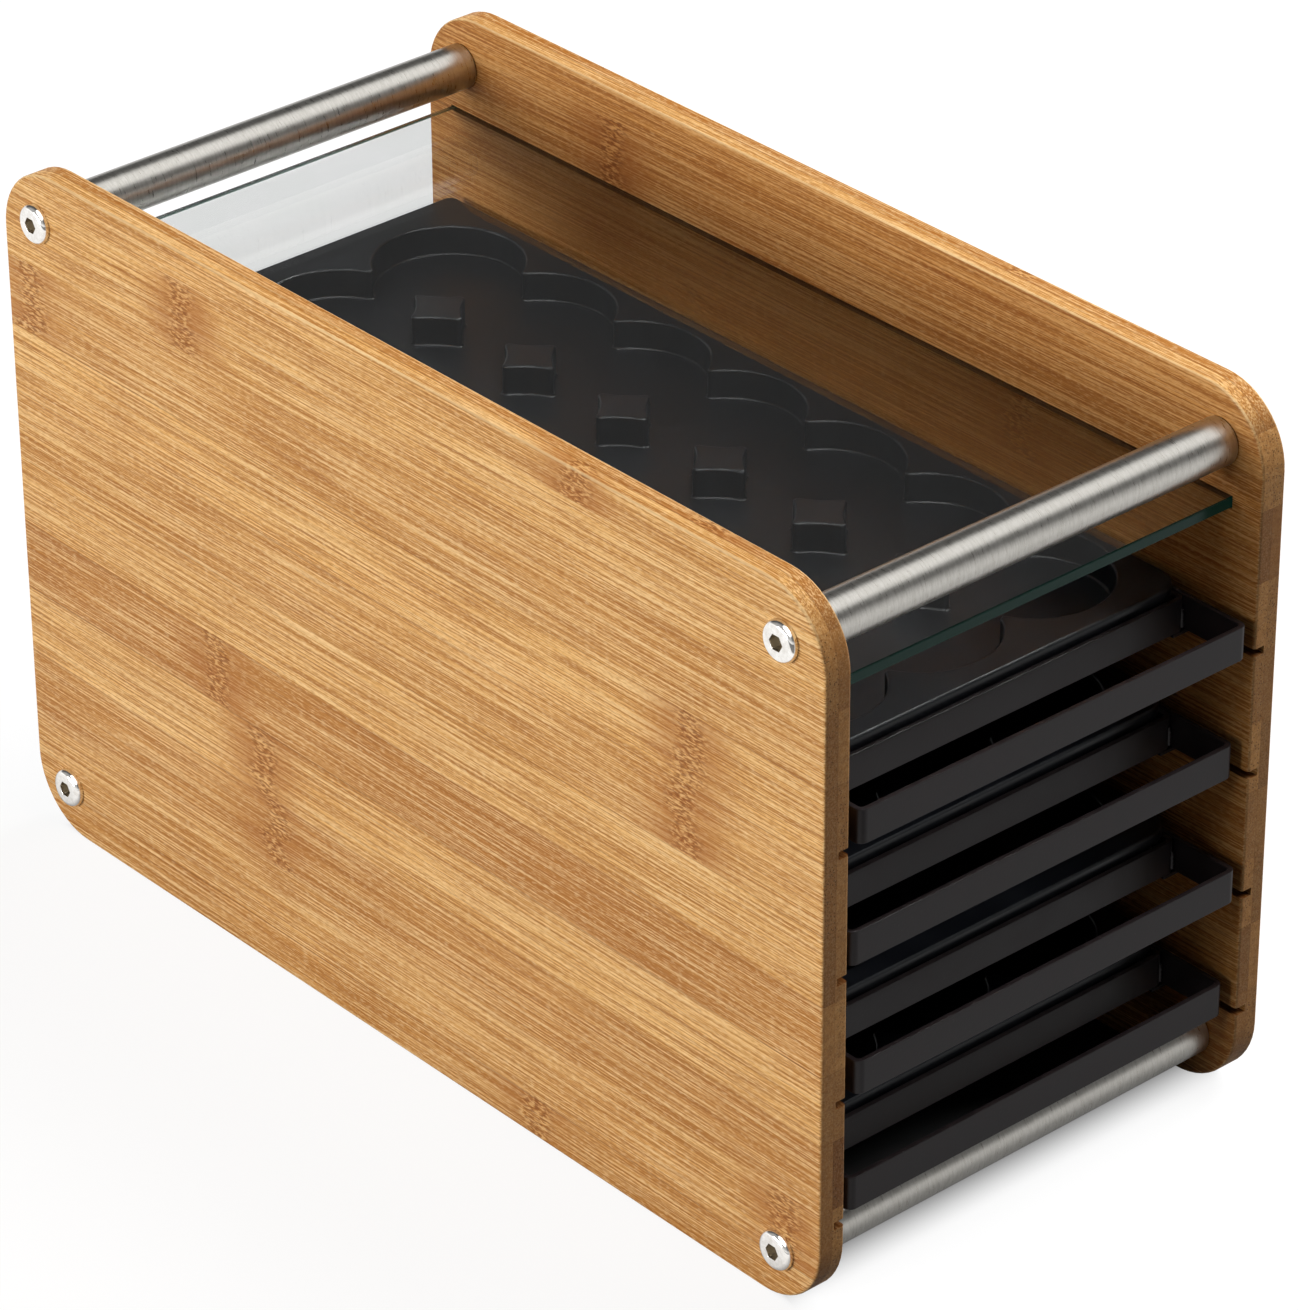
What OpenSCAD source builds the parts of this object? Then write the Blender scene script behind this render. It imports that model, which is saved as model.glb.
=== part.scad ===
// Coffee pod drawer: two side boards bolted to four spacer rods, a glass shelf in grooves,
// and four drawers that slide out on flat runners in slots cut in the boards.
// X is across the boards, the handles face -Y, Z is up, and the boards stand on z = 0.

/* [Side boards] */
// Length of a board, front to back
board_l = 319; // [300:1:360]
// Height of a board
board_h = 203; // [186:1:240]
// Thickness of a board
board_t = 8.2; // [7.5:0.1:12]
// Radius of the board corners
corner_r = 20.5; // [16:0.5:24]
// Radius of the softened edges
arris_r = 0.9; // [0.4:0.1:1.5]

/* [Rods and bolts] */
// Diameter of a spacer rod
rod_d = 12.9; // [10:0.1:14]
// Width of the chamfer round each rod end
rod_chamfer = 0.4; // [0.2:0.1:0.8]
// Distance of each bolt axis from the two board edges beside it
bolt_inset = 14.8; // [12:0.1:18]
// Diameter of the bolt shank
bolt_d = 6; // [5:0.5:8]
// Diameter of the bolt head
head_d = 11.1; // [10.5:0.1:14]
// Height of the bolt head
head_h = 2.3; // [1.8:0.1:3]
// Width of the chamfer round the bolt head
head_chamfer = 0.7; // [0.3:0.1:1]
// Width across the flats of the hex socket
hex_af = 4; // [3:0.5:4.5]
// Depth of the hex socket
hex_depth = 2.8; // [2:0.1:4]
// Length of bolt that enters the rod
bolt_reach = 14; // [10:1:20]
// Depth left in the rod past the bolt tip
bore_spare = 4; // [1:0.5:8]
// Radial clearance of the bolt in the tapped rod end
thread_clear = 0.05; // [0.02:0.01:0.1]
// Radial clearance of the bolt in the board
hole_clear = 0.2; // [0.1:0.05:0.4]

/* [Glass shelf] */
// Thickness of the glass
glass_t = 3.2; // [3:0.1:4]
// Length of the glass, front to back
glass_l = 299.2; // [280:0.2:300]
// Distance from the top of the boards down to the upper face of the glass
glass_drop = 28.6; // [24:0.1:32]
// Depth that the glass enters each board
glass_bite = 3.3; // [2:0.1:4]
// Width of the ground edge of the glass
glass_seam = 0.3; // [0.1:0.05:0.5]
// Clearance of the glass in its groove, each side
glass_clear = 0.2; // [0.1:0.05:0.3]

/* [Drawer slots] */
// Height of the centre of the lowest slot
first_slot_z = 27.1; // [26:0.1:28]
// Distance from slot to slot
slot_pitch = 35.6; // [35:0.1:36]
// Height of a slot
slot_h = 2.2; // [2:0.1:2.6]
// Length of slot left behind a closed drawer's runners
slot_spare = 0.3; // [0.2:0.1:1]

/* [Drawer frame] */
// Width of the frame over its side arms
frame_w = 130.8; // [120:0.2:150]
// Gap between a frame and the board beside it
side_gap = 3; // [1:0.1:5]
// Thickness of the frame strip
strip_t = 1.5; // [1:0.1:2]
// Height of the frame strip
strip_h = 9.6; // [8:0.1:11]
// Outer radius of the bends of the frame
bend_r = 2.4; // [2.1:0.1:4]
// Distance from the front of the handle to the front of the cross bar
finger_gap = 20; // [16:0.1:24]
// Length of the cross bar ends that lie along the side arms
tab_l = 8; // [5:0.5:9]
// How far each drawer stands out of its closed place, from the top one down
rest_pull = [3, 0.4, 3.3, 0.9];
// Distance of the closed handle behind the front edge of the boards
handle_inset = 2.5; // [0:0.1:6]
// Distance from the rear of a closed drawer to the rear edge of the boards
drawer_setback = 9.5; // [8:0.5:20]

/* [Runners] */
// Thickness of a runner
runner_t = 1; // [0.8:0.1:1.4]
// Depth that a runner enters its slot
runner_bite = 3.2; // [2:0.1:3.5]
// Width of a runner inside the side arm
runner_ledge = 4; // [2:0.5:6]
// Clearance of a runner in its slot, below and beyond
runner_clear = 0.3; // [0.2:0.05:0.4]
// Radius of the lead-in corner of a runner
runner_lead = 2.5; // [1:0.5:3]

/* [Pod tray] */
// Thickness of the tray lip
lip_t = 3; // [2:0.1:3.4]
// Radius of the front corners of the lip
lip_front_r = 8; // [4:0.5:12]
// Radius of the rear corners of the lip
lip_rear_r = 3; // [2.5:0.5:6]
// Distance from the cross bar to the front of the lip
lip_gap = 0.5; // [0.3:0.1:1]
// Distance between pod columns, of which the frame holds as many as fit
pod_pitch_x = 39; // [38:0.1:41]
// Distance between pod rows, of which the frame holds as many as fit
pod_pitch_y = 37.8; // [37:0.1:41]
// Radius of a pod seat
pod_r = 21; // [20.5:0.1:21.4]
// Distance from the front of the lip to the first pod seats
front_margin = 6.6; // [4:0.1:9]
// Depth of the pod seats
pod_depth = 8.5; // [6:0.1:9]
// Thickness of the tray floor
floor_t = 1.8; // [1.2:0.1:2.2]
// Clearance between the skirt and the frame pieces round it
skirt_clear = 0.3; // [0.2:0.05:0.35]
// Distance from the centre of a post to its blunted corners
post_r = 9.4; // [8:0.1:10.5]
// Thickness of the cup wall round each seat
cup_wall = 2; // [1.2:0.1:2.2]
// Depth below the lip of the skirt that fits inside the frame
skirt_h = 4; // [2:0.5:6]
// Thickness of the skirt
skirt_t = 1.5; // [1:0.1:1.6]

/* [Hidden] */

$fn = 96;
// How far a cutting shape runs past the face that it cuts, and a joined shape into its neighbour
over = 1;
drawer_count = 4;
// The clear width between the boards
inner_w = frame_w + 2 * side_gap;
half_inner = inner_w / 2;
glass_top_z = board_h - glass_drop;
bolt_y = board_l / 2 - bolt_inset;
top_z = board_h - bolt_inset;
bottom_z = bolt_inset;
slot_depth = runner_bite + runner_clear;
// Where the drawers stand when they are closed: the handle's front face, and the rear of the frame
closed_y = handle_inset - board_l / 2;
frame_l = board_l - handle_inset - drawer_setback;
runner_l = frame_l - finger_gap - strip_t;
// Where the slots end
slot_end_y = closed_y + finger_gap + runner_l + slot_spare;
// Heights above the centre of a drawer's own slot
runner_z = runner_clear - slot_h / 2;
frame_z = runner_z + runner_t;
lip_z = frame_z + strip_h;
lip_top_z = lip_z + lip_t;
floor_z = lip_top_z - pod_depth;
// The tray, along the drawer from the front of its handle
lip_y = finger_gap + strip_t + lip_gap;
lip_l = frame_l - lip_y;
skirt_w = frame_w - 4 * strip_t - 2 * skirt_clear;
skirt_y = finger_gap + strip_t + skirt_clear + lip_gap;
skirt_l = frame_l - strip_t - skirt_clear - skirt_y;
// The rows and columns of pod seats that the frame holds, and where the first ones are centred
cup_r = pod_r + cup_wall;
first_row_y = lip_y + front_margin + pod_r;
rows = 1 + floor((skirt_y + skirt_l - cup_r - first_row_y) / pod_pitch_y);
cols = 1 + floor((skirt_w - 2 * cup_r) / pod_pitch_x);
first_col_x = -(cols - 1) / 2 * pod_pitch_x;

// The centre height of the slots that carry drawer n, counted from the top
function slot_z(n) = first_slot_z + (drawer_count - n) * slot_pitch;

// A rectangle with round corners, from its front left corner. The rear corners may have a radius of their own.
module round_rect(w, l, front_r, rear_r = 0) {
    back_r = rear_r == 0 ? front_r : rear_r;
    translate([0, front_r]) square([w, l - front_r - back_r]);
    translate([front_r, 0]) square([w - 2 * front_r, l / 2]);
    translate([back_r, l / 2]) square([w - 2 * back_r, l / 2]);
    for (x = [front_r, w - front_r]) translate([x, front_r]) circle(front_r);
    for (x = [back_r, w - back_r]) translate([x, l - back_r]) circle(back_r);
}

// The section of a board rim: reach wide, with its two outer edges rounded
module rim_section(reach) {
    square([reach - arris_r, board_t]);
    translate([0, arris_r]) square([reach, board_t - 2 * arris_r]);
    for (z = [arris_r, board_t - arris_r]) translate([reach - arris_r, z]) circle(arris_r);
}

// One straight rim, along +Y, that faces +X
module rim_straight(l) {
    translate([0, l / 2, 0]) rotate([90, 0, 0]) linear_extrude(l) rim_section(corner_r);
}

// A board blank, flat on z = 0, its length along Y and its height along X
module board_blank() {
    core_l = board_l - 2 * corner_r;
    core_h = board_h - 2 * corner_r;
    translate([-core_h / 2, -core_l / 2, 0]) cube([core_h, core_l, board_t]);
    for (a = [0, 180]) rotate([0, 0, a]) {
        translate([core_h / 2, 0, 0]) rim_straight(core_l);
        translate([0, core_l / 2, 0]) rotate([0, 0, 90]) rim_straight(core_h);
        translate([core_h / 2, core_l / 2, 0]) rotate_extrude(angle = 90) rim_section(corner_r);
        translate([core_h / 2, -core_l / 2, 0]) rotate([0, 0, -90]) rotate_extrude(angle = 90)
            rim_section(corner_r);
    }
}

// The right board, with its slots, glass groove and bolt holes. The left board is its mirror image.
module side_board() {
    color("burlywood") difference() {
        translate([half_inner + board_t, 0, board_h / 2]) rotate([0, -90, 0]) board_blank();
        for (n = [1:drawer_count])
            translate([half_inner - over, -board_l / 2 - over, slot_z(n) - slot_h / 2])
                cube([slot_depth + over, slot_end_y + board_l / 2 + over, slot_h]);
        translate([half_inner - over, -glass_l / 2 - glass_clear, glass_top_z - glass_t - glass_clear])
            cube([glass_bite + glass_clear + over, glass_l + 2 * glass_clear, glass_t + 2 * glass_clear]);
        for (y = [-bolt_y, bolt_y], z = [bottom_z, top_z])
            translate([half_inner - over, y, z]) rotate([0, 90, 0])
                cylinder(d = bolt_d + 2 * hole_clear, h = board_t + 2 * over);
    }
}

// A spacer rod, with a tapped hole in each end
module rod(y, z) {
    color("silver") translate([0, y, z]) difference() {
        rotate([0, 90, 0]) union() {
            cylinder(d = rod_d, h = inner_w - 2 * rod_chamfer, center = true);
            for (s = [0, 180]) rotate([s, 0, 0]) translate([0, 0, half_inner - rod_chamfer])
                cylinder(d1 = rod_d, d2 = rod_d - 2 * rod_chamfer, h = rod_chamfer);
        }
        for (s = [0, 180]) rotate([0, 0, s])
            translate([half_inner - bolt_reach - bore_spare, 0, 0]) rotate([0, 90, 0])
                cylinder(d = bolt_d + 2 * thread_clear, h = bolt_reach + bore_spare + over);
    }
}

// A bolt through a board: side is 1 for the right board and -1 for the left one
module bolt(side, y, z) {
    color("gainsboro") translate([side * (half_inner + board_t), y, z]) rotate([0, side * 90, 0])
        difference() {
            union() {
                cylinder(d = head_d, h = head_h - head_chamfer);
                translate([0, 0, head_h - head_chamfer])
                    cylinder(d1 = head_d, d2 = head_d - 2 * head_chamfer, h = head_chamfer);
                translate([0, 0, -board_t - bolt_reach])
                    cylinder(d = bolt_d, h = board_t + bolt_reach + over);
            }
            translate([0, 0, head_h - hex_depth])
                linear_extrude(hex_depth + over) circle(d = hex_af / cos(30), $fn = 6);
        }
}

// The glass shelf, with a narrow ground edge all round
module glass_top() {
    w = inner_w + 2 * glass_bite;
    color("lightcyan", 0.4) translate([0, 0, glass_top_z - glass_t]) {
        translate([-w / 2, -glass_l / 2, glass_seam]) cube([w, glass_l, glass_t - 2 * glass_seam]);
        translate([-w / 2 + glass_seam, -glass_l / 2 + glass_seam, 0])
            cube([w - 2 * glass_seam, glass_l - 2 * glass_seam, glass_t]);
    }
}

// Puts a drawer piece where drawer n rests: from the handle's front face, at its slot's height
module at_drawer(n) {
    translate([0, closed_y - rest_pull[n - 1], slot_z(n)]) children();
}

// The frame: a strip bent to a loop, whose front run is the handle
module frame(n) {
    inner_r = bend_r - strip_t;
    color("#26262a") at_drawer(n) translate([-frame_w / 2, 0, frame_z]) linear_extrude(strip_h)
        difference() {
            round_rect(frame_w, frame_l, bend_r);
            translate([strip_t, strip_t])
                round_rect(frame_w - 2 * strip_t, frame_l - 2 * strip_t, inner_r);
        }
}

// The cross bar behind the finger gap, its ends bent back against the side arms
module cross_bar(n) {
    w = frame_w - 2 * strip_t;
    inner_r = bend_r - strip_t;
    color("#26262a") at_drawer(n) translate([-w / 2, finger_gap, frame_z]) linear_extrude(strip_h)
        difference() {
            round_rect(w, tab_l + bend_r, bend_r);
            translate([strip_t, strip_t]) round_rect(w - 2 * strip_t, tab_l + bend_r, inner_r);
            translate([-over, tab_l]) square([w + 2 * over, bend_r + over]);
        }
}

// A runner under one side arm: side is 1 for the right one and -1 for the left one
module runner(n, side) {
    inner_x = frame_w / 2 - strip_t - runner_ledge;
    outer_x = half_inner + runner_bite;
    w = outer_x - inner_x;
    color("#26262a") at_drawer(n) mirror([side < 0 ? 1 : 0, 0, 0])
        translate([inner_x, finger_gap, runner_z]) linear_extrude(runner_t) {
            square([w - runner_lead, runner_l]);
            translate([0, runner_lead]) square([w, runner_l - 2 * runner_lead]);
            for (y = [runner_lead, runner_l - runner_lead])
                translate([w - runner_lead, y]) circle(runner_lead);
        }
}

// Puts its child where each pod seat is centred
module at_seats() {
    for (c = [0:cols - 1], r = [0:rows - 1])
        translate([first_col_x + c * pod_pitch_x, first_row_y + r * pod_pitch_y, 0]) children();
}

// Puts its child where each post stands, between four seats
module at_posts() {
    for (c = [0:cols - 2], r = [0:rows - 2])
        translate([first_col_x + (c + 0.5) * pod_pitch_x, first_row_y + (r + 0.5) * pod_pitch_y, 0])
            children();
}

// The outline of the skirt, drawn in by a margin all round
module skirt_outline(margin) {
    translate([margin - skirt_w / 2, skirt_y + margin])
        round_rect(skirt_w - 2 * margin, skirt_l - 2 * margin, lip_front_r - margin, lip_rear_r - margin);
}

// The pod tray: a lip that lies on the frame, a skirt inside it, and cups that run together
module pod_tray(n) {
    color("#17171a") at_drawer(n) difference() {
        union() {
            translate([-frame_w / 2, lip_y, lip_z]) linear_extrude(lip_t)
                round_rect(frame_w, lip_l, lip_front_r, lip_rear_r);
            translate([0, 0, lip_z - skirt_h]) linear_extrude(skirt_h + over) difference() {
                skirt_outline(0);
                skirt_outline(skirt_t);
            }
            at_seats() translate([0, 0, floor_z - floor_t])
                cylinder(r = cup_r, h = lip_z - floor_z + floor_t + over);
        }
        at_seats() translate([0, 0, floor_z]) cylinder(r = pod_r, h = pod_depth + over);
        at_posts() translate([0, 0, floor_z]) linear_extrude(pod_depth + over) difference() {
            circle(pod_pitch_y / 2);
            circle(post_r);
        }
    }
}

module left_board() mirror([1, 0, 0]) side_board();
module right_board() side_board();

left_board();
right_board();
rod(-bolt_y, top_z);  // rod_top_front
rod(bolt_y, top_z);  // rod_top_rear
rod(-bolt_y, bottom_z);  // rod_bottom_front
rod(bolt_y, bottom_z);  // rod_bottom_rear
bolt(-1, -bolt_y, top_z);  // bolt_left_top_front
bolt(-1, bolt_y, top_z);  // bolt_left_top_rear
bolt(-1, -bolt_y, bottom_z);  // bolt_left_bottom_front
bolt(-1, bolt_y, bottom_z);  // bolt_left_bottom_rear
bolt(1, -bolt_y, top_z);  // bolt_right_top_front
bolt(1, bolt_y, top_z);  // bolt_right_top_rear
bolt(1, -bolt_y, bottom_z);  // bolt_right_bottom_front
bolt(1, bolt_y, bottom_z);  // bolt_right_bottom_rear
glass_top();
frame(1);  // drawer_1_frame
cross_bar(1);  // drawer_1_cross_bar
runner(1, -1);  // drawer_1_runner_left
runner(1, 1);  // drawer_1_runner_right
pod_tray(1);  // drawer_1_pod_tray
frame(2);  // drawer_2_frame
cross_bar(2);  // drawer_2_cross_bar
runner(2, -1);  // drawer_2_runner_left
runner(2, 1);  // drawer_2_runner_right
pod_tray(2);  // drawer_2_pod_tray
frame(3);  // drawer_3_frame
cross_bar(3);  // drawer_3_cross_bar
runner(3, -1);  // drawer_3_runner_left
runner(3, 1);  // drawer_3_runner_right
pod_tray(3);  // drawer_3_pod_tray
frame(4);  // drawer_4_frame
cross_bar(4);  // drawer_4_cross_bar
runner(4, -1);  // drawer_4_runner_left
runner(4, 1);  // drawer_4_runner_right
pod_tray(4);  // drawer_4_pod_tray
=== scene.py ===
# %% [markdown]
# # A coffee pod drawer
# Two bamboo side boards stand on edge, held apart by four steel rods. A glass shelf sits in grooves near
# the top, and four drawers slide in slots below it. Each drawer is a bent steel strip that carries a
# moulded tray with round seats.
# The construction model is loaded first, as a fixed frame that says where everything is and how it moves.
# This lesson then dresses it: some pieces keep their construction shape and get a finish, and others are
# modelled again with the small bends, fillets and welds that catch the light.

# %% Load the frame
import math

import bmesh
import bpy
from mathutils import Matrix, Vector


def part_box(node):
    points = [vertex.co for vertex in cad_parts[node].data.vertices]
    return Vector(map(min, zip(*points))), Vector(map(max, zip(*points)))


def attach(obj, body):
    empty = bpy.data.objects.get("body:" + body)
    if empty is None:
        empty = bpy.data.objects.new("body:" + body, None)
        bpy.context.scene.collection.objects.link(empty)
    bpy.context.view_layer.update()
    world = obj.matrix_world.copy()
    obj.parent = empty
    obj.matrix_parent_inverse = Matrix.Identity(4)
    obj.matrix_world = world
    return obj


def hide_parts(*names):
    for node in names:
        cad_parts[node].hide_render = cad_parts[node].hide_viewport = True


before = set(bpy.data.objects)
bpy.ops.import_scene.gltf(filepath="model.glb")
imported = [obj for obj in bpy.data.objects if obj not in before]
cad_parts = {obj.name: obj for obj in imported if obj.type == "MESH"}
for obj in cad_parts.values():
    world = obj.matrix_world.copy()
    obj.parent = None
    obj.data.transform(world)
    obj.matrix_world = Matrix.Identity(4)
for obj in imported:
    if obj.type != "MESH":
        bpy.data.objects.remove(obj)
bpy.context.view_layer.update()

# %% [markdown]
# Blender counts in metres, and a drawer strip is measured in millimetres, so one small helper turns one
# into the other.

# %% Millimetres
def mm(length):
    """A length in millimetres, in Blender's metres."""
    return length / 1000


# %% [markdown]
# The camera looks down on the corner between the long left board and the drawer handles. A long lens from
# far away keeps the edges almost parallel, as product pictures do. It could be aimed with a constraint, but
# a constraint would stay live, so the place and the turn are written down instead.

# %% Camera
camera_data = bpy.data.cameras.new("product_camera")
camera_data.lens = 169.97
camera_data.sensor_width = 36
camera_data.clip_end = 20
camera = bpy.data.objects.new("product_camera", camera_data)
camera.location = (-0.91314, -1.05359, 0.91269)
look_down, look_round, tilt = math.radians(90 - 30.532), math.radians(-41.189), math.radians(-0.327)
camera.rotation_euler = (
    Matrix.Rotation(look_round, 3, "Z") @ Matrix.Rotation(look_down, 3, "X") @ Matrix.Rotation(tilt, 3, "Z")
).to_euler()
bpy.context.scene.collection.objects.link(camera)
bpy.context.scene.camera = camera
bpy.context.scene.view_settings.view_transform = "Standard"
print("camera", tuple(round(v, 3) for v in camera.location), "lens", camera_data.lens)

# %% [markdown]
# A material is a little network. Writing each node, its settings and its inputs takes a line each, so a few
# helpers keep it short. One puts a node down and links its inputs, and the others do sums, mix colours, and
# start a material or a node group that several materials share.

# %% Helpers for materials
def put(tree, kind, inputs=(), **settings):
    """Puts a node down. An input that is a socket is linked, and any other value is set."""
    made = tree.nodes.new(kind)
    for name, value in settings.items():
        setattr(made, name, value)
    for socket, value in dict(inputs).items():
        if isinstance(value, bpy.types.NodeSocket):
            tree.links.new(value, made.inputs[socket])
        else:
            made.inputs[socket].default_value = value
    return made


def calc(tree, operation, *values):
    """A Math node, and its result."""
    return put(tree, "ShaderNodeMath", enumerate(values), operation=operation).outputs[0]


def product(tree, first, *others):
    """Multiplies all the values."""
    for other in others:
        first = calc(tree, "MULTIPLY", first, other)
    return first


def total(tree, first, *others):
    """Adds all the values."""
    for other in others:
        first = calc(tree, "ADD", first, other)
    return first


def away(tree, value, place=0.0):
    """How far a value is from a place, to either side."""
    return calc(tree, "ABSOLUTE", calc(tree, "SUBTRACT", value, place))


def chosen(tree, switch, first, second):
    """The first value where the switch is nothing, and the second where it is one."""
    return put(tree, "ShaderNodeMix", {0: switch, 2: first, 3: second}).outputs[0]


def parts(tree, vector):
    """The X, Y and Z of a vector."""
    return put(tree, "ShaderNodeSeparateXYZ", {0: vector}).outputs


def chance(tree, number):
    """A value and a colour picked by chance for each number, and always the same ones."""
    return put(tree, "ShaderNodeTexWhiteNoise", {1: number}, noise_dimensions="1D").outputs


def green_of(tree, color):
    """The green of a colour."""
    return put(tree, "ShaderNodeSeparateColor", {0: color}).outputs[1]


def spread(tree, value, low, high, to_low=0.0, to_high=1.0, smooth=True):
    """Spreads a value from one range over another, and stops it at the ends."""
    kind = "SMOOTHSTEP" if smooth else "LINEAR"
    made = put(tree, "ShaderNodeMapRange", {0: value, 1: low, 2: high, 3: to_low, 4: to_high},
               interpolation_type=kind)
    return made.outputs[0]


def mixed(tree, amount, a, b, blend="MIX"):
    """Mixes two colours."""
    made = put(tree, "ShaderNodeMix", {0: amount, 6: a, 7: b}, data_type="RGBA", blend_type=blend)
    return made.outputs[2]


def paint(red, green, blue):
    """A colour as a screen shows it, from 0 to 255, in the linear numbers that a shader takes."""
    def linear(v):
        v /= 255
        return v / 12.92 if v <= 0.04045 else ((v + 0.055) / 1.055) ** 2.4
    return (linear(red), linear(green), linear(blue), 1.0)


def stepped(tree, value, steps):
    """A Color Ramp that holds each value from its place up to the next one."""
    ramp = put(tree, "ShaderNodeValToRGB", {0: value})
    ramp.color_ramp.interpolation = "CONSTANT"
    marks = ramp.color_ramp.elements
    for place, level in steps[2:]:
        marks.new(place)
    for mark, (place, level) in zip(marks, steps):
        mark.position, mark.color = place, (level, level, level, 1)
    return ramp.outputs[0]


def new_group(name, takes, gives):
    """An empty node group with named inputs and outputs, and its two end nodes."""
    group = bpy.data.node_groups.new(name, "ShaderNodeTree")
    for side, sockets in (("INPUT", takes), ("OUTPUT", gives)):
        for label, kind, *value in sockets:
            made = group.interface.new_socket(label, in_out=side, socket_type="NodeSocket" + kind)
            if value:
                made.default_value = value[0]
    return group, group.nodes.new("NodeGroupInput").outputs, group.nodes.new("NodeGroupOutput").inputs


def place_group(tree, group, inputs):
    """Places a node group in a material, with its own values."""
    return put(tree, "ShaderNodeGroup", inputs, node_tree=group).outputs


def new_material(name):
    """A material with its Principled shader and the place of each point, on Object coordinates."""
    material = bpy.data.materials.new(name)
    material.use_nodes = True
    tree = material.node_tree
    shader = tree.nodes["Principled BSDF"]
    point = put(tree, "ShaderNodeTexCoord").outputs["Object"]
    return material, tree, shader, point


def raise_by(tree, shader, height, strength, depth):
    """Gives the shader's surface a fine relief."""
    bump = put(tree, "ShaderNodeBump", {"Height": height, "Strength": strength, "Distance": depth})
    tree.links.new(bump.outputs[0], shader.inputs["Normal"])


def dress(obj, material):
    """Gives a piece its one finish."""
    obj.data.materials.clear()
    obj.data.materials.append(material)


# %% [markdown]
# Bamboo board is glued up from flat strips 20 mm wide, in two plies. Each strip has its own tone, and fine
# dark and cream fibres and thin brown threads run along it. Here and there it has a node, where the cane
# once had a joint: a short cluster of wavy dashes across the strip. One group makes all of that from the
# point's place, so that the faces, the end grain and the slots agree as they do in solid wood. A picture
# could be wrapped round the board, but it would smear over the edges and repeat.

# %% Bamboo grain
BOARD_H, STRIP_W, FIRST_JOINT, PLY_MIDDLE = mm(203), mm(20.2), mm(12.1), mm(72.5)
grain, take, give = new_group(
    "bamboo grain",
    takes=[("Point", "Vector"), ("Tone", "Float", 0.5), ("Node place", "Float", 9.0), ("Seed", "Float", 0.0),
           ("Oil", "Float", 0.0)],
    gives=[("Color", "Color"), ("Roughness", "Float"), ("Height", "Float")],
)
across_board, along_board, up_board = parts(grain, take["Point"])
seed_vector = put(grain, "ShaderNodeCombineXYZ", {n: take["Seed"] for n in range(3)}).outputs[0]
shifted = put(grain, "ShaderNodeVectorMath", {0: take["Point"], 1: seed_vector}, operation="ADD").outputs[0]


def fibres(across, along, detail, rough=0.6, distortion=0.0):
    """Noise drawn out along the strips: across and along are how many times it varies in a metre."""
    scaled = put(grain, "ShaderNodeVectorMath", {0: shifted, 1: (across, along, across)}, operation="MULTIPLY")
    noise = put(grain, "ShaderNodeTexNoise",
                {0: scaled.outputs[0], "Scale": 1.0, "Detail": detail, "Roughness": rough,
                 "Distortion": distortion})
    return noise.outputs[0]


broad = fibres(110, 5, 2)
bands = fibres(430, 10, 2)
fine = fibres(1300, 8, 2, 0.65)
hairlines = fibres(2300, 15, 1, 0.5)
short = fibres(1500, 50, 2, 0.6)
hair = fibres(2600, 420, 1)
clouds = fibres(26, 8, 2)
threads = spread(grain, away(grain, fibres(700, 8, 1), 0.5), 0.055, 0.012)
print("bamboo grain has", len(grain.nodes), "nodes so far")

# %% [markdown]
# A node darkens the strip a little for 15 to 20 mm each way. In its middle the fibres ripple: short dark
# and bright dashes, a few millimetres long, that slant both ways. So a less drawn-out noise, bent a little,
# is read there, and the cluster's place wanders from fibre to fibre.

# %% Bamboo nodes
wander = product(grain, calc(grain, "SUBTRACT", fibres(150, 30, 2), 0.5), mm(14))
from_node = calc(grain, "SUBTRACT", along_board, take["Node place"])
halo = product(grain, spread(grain, away(grain, from_node), mm(23), mm(2)),
               spread(grain, fibres(150, 22, 2), 0.35, 0.65, 0.35, 1.0))
core = spread(grain, away(grain, total(grain, from_node, wander)), mm(8), mm(2))
ripple = fibres(1750, 460, 1, 0.5, 0.35)
node_marks = product(grain, core, spread(grain, ripple, 0.50, 0.60))
node_flecks = product(grain, core, spread(grain, ripple, 0.46, 0.38))
print("bamboo grain has", len(grain.nodes), "nodes with its nodes' marks")

# %% [markdown]
# The colour is built up as a painter would: a ground between the two tones of bamboo, and then one thin
# glaze after another. Each glaze says where it lies and what colour it is.

# %% Bamboo colours
def glaze(noise, none_at, full_at, strength):
    """Where a glaze lies: nowhere at one value of the noise, and at its full strength at the other."""
    return spread(grain, noise, none_at, full_at, 0.0, strength)


clouded = product(grain, calc(grain, "SUBTRACT", clouds, 0.5), 0.8)
tone = total(grain, take["Tone"], clouded)
base = mixed(grain, spread(grain, tone, 0.0, 1.0, smooth=False), paint(177, 117, 53), paint(232, 181, 110))
thread_strength = spread(grain, bands, 0.35, 0.65, 0.14, 0.44)
for where, tint in (
    (glaze(clouds, 0.50, 0.75, 0.30), (210, 146, 78)),
    (glaze(broad, 0.44, 0.64, 0.22), (184, 124, 58)),
    (glaze(bands, 0.50, 0.68, 0.12), (176, 114, 50)),
    (glaze(bands, 0.46, 0.32, 0.10), (238, 198, 136)),
    (glaze(fine, 0.50, 0.64, 0.36), (164, 104, 40)),
    (glaze(fine, 0.47, 0.34, 0.24), (246, 208, 150)),
    (product(grain, threads, thread_strength), (146, 88, 34)),
    (glaze(hairlines, 0.50, 0.62, 0.68), (154, 94, 34)),
    (glaze(hairlines, 0.47, 0.37, 0.50), (248, 212, 156)),
    (glaze(short, 0.54, 0.66, 0.46), (156, 96, 38)),
    (glaze(hair, 0.50, 0.72, 0.40), (156, 96, 40)),
    (glaze(hair, 0.48, 0.30, 0.32), (250, 216, 164)),
    (product(grain, halo, 0.72), (162, 98, 42)),
    (product(grain, node_marks, 0.66), (122, 68, 28)),
    (product(grain, node_flecks, 0.5), (236, 190, 126)),
):
    base = mixed(grain, where, base, paint(*tint))
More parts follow.
